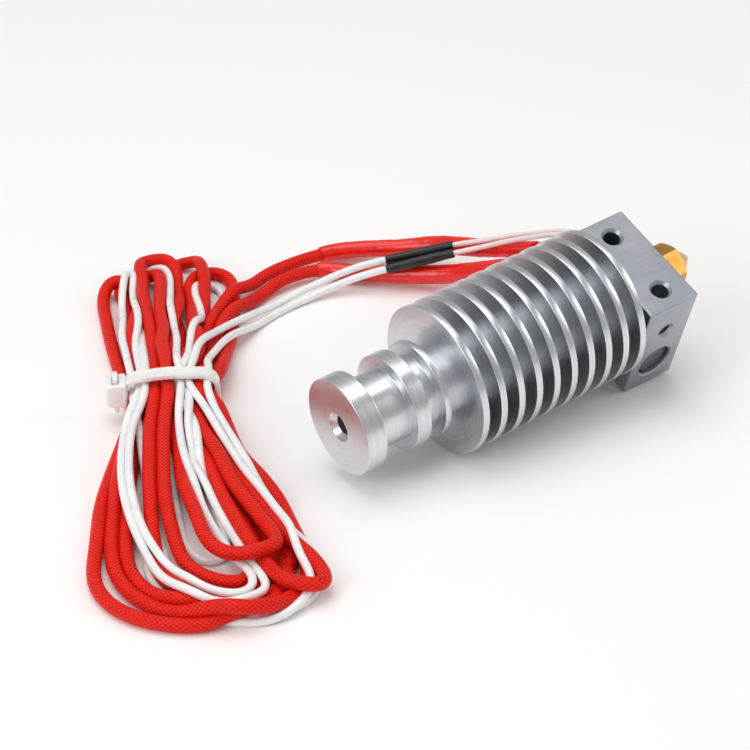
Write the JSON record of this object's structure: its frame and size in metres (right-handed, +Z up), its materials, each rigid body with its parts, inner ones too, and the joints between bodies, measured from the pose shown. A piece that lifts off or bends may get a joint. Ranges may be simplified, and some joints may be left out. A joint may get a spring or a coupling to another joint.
{
  "type": "3d printer hot end",
  "caption": "All-metal 3D printer hot end lying on its side: finned heat sink with a grooved collar, heater block and brass nozzle, with its heater and sensor leads tied in a hank.",
  "frame": {"origin": "on the table, under the middle of the hot end's own footprint, without its leads", "axes": "+X along the hot end from its mounting collar towards the nozzle, which is pitched 5.66 degrees up because it lies on a fin and a corner of the block; +Z up"},
  "size_m": [0.1176, 0.1021, 0.0281],
  "materials": {
    "turned_aluminium": "turned, bright, fine lathe lines",
    "milled_aluminium": "milled and tumbled, satin grey",
    "stainless_steel": "turned stainless steel",
    "brass": "turned brass",
    "cartridge_steel": "drawn steel sheath, dull",
    "ceramic": "pale pressed ceramic, matte",
    "sensor_glass": "amber glass bead",
    "black_steel": "black-oxide steel",
    "red_braid": "red braided fibreglass sleeving",
    "red_shrink": "red shrink tubing, satin",
    "white_insulation": "white fluoropolymer insulation, glossy",
    "pale_insulation": "pale fine-lead insulation",
    "black_shrink": "black shrink tubing, matte",
    "tinned_copper": "tinned copper crimp barrel",
    "natural_nylon": "natural nylon, slightly translucent"
  },
  "bodies": {
    "hot_end": {"heatsink": "turned_aluminium", "heat_break": "stainless_steel", "heater_block": "milled_aluminium", "cartridge_sheath": "cartridge_steel", "cartridge_core": "ceramic", "thermistor_bead": "sensor_glass", "heater_lead_red_a": "red_braid", "heater_lead_red_b": "red_braid", "heater_splice_a": "tinned_copper", "heater_splice_b": "tinned_copper", "cartridge_lead_a": "red_braid", "cartridge_lead_b": "red_braid", "red_sleeve_a": "red_shrink", "red_sleeve_b": "red_shrink", "sensor_lead_white_a": "white_insulation", "sensor_lead_white_b": "white_insulation", "sensor_splice_a": "tinned_copper", "sensor_splice_b": "tinned_copper", "thermistor_lead_a": "pale_insulation", "thermistor_lead_b": "pale_insulation", "black_sleeve_a": "black_shrink", "black_sleeve_b": "black_shrink", "lead_hank": "red_braid", "cable_tie": "natural_nylon"},
    "nozzle": {"nozzle": "brass"},
    "sensor_grub_screw": {"sensor_grub_screw": "black_steel"},
    "cartridge_grub_screw": {"cartridge_grub_screw": "black_steel"}
  },
  "joints": [
    {"name": "nozzle_unscrew", "type": "hinge", "parent": "hot_end", "child": "nozzle", "pos_m": [0.02701, -0.0004, 0.01674], "axis": [0.9951, 0, 0.0986], "range_deg": [0, 1690]},
    {"name": "sensor_grub_screw_unscrew", "type": "hinge", "parent": "hot_end", "child": "sensor_grub_screw", "pos_m": [0.0217, 0.00399, 0.02008], "axis": [-0.0916, -0.3697, 0.9246], "range_deg": [0, 1584]},
    {"name": "cartridge_grub_screw_unscrew", "type": "hinge", "parent": "hot_end", "child": "cartridge_grub_screw", "pos_m": [0.02329, 0.0037, 0.00412], "axis": [0.0916, 0.3697, -0.9246], "range_deg": [0, 1584]}
  ]
}
